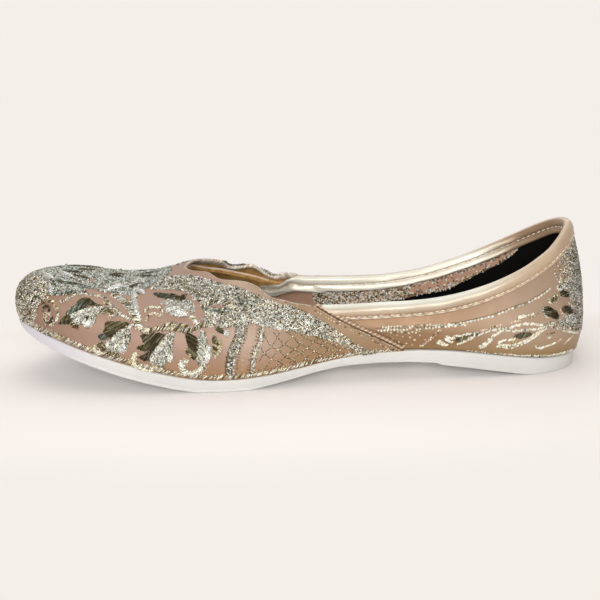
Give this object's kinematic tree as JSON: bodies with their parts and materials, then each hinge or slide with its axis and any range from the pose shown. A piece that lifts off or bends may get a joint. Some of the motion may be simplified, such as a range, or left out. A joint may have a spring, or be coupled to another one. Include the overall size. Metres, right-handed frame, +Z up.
{
  "type": "embroidered ballet flat",
  "caption": "Flat slip-on shoe with an embroidered vamp, scalloped throat, padded collar binding and a thin moulded sole with toe spring and low heel.",
  "frame": {"origin": "middle of the shoe's length and width, on the floor that it stands on", "axes": "+X towards the heel, +Y towards the wearer's right, +Z up"},
  "size_m": [0.2492, 0.0798, 0.0609],
  "materials": {
    "sole_white": "smooth satin moulded sole",
    "sock_black": "matte lining",
    "rose_gold_leather": "satin, slightly metallic",
    "metallic_embroidery": "metallic thread over satin leather",
    "rope_edge": "twisted metallic cord",
    "champagne_binding": "satin, padded"
  },
  "bodies": {
    "root": {"outsole": "sole_white", "insole": "sock_black", "upper": "rose_gold_leather", "vamp_overlay": "metallic_embroidery", "vamp_edge_cord_left": "rope_edge", "vamp_edge_cord_right": "rope_edge", "collar_binding": "champagne_binding"}
  },
  "joints": []
}
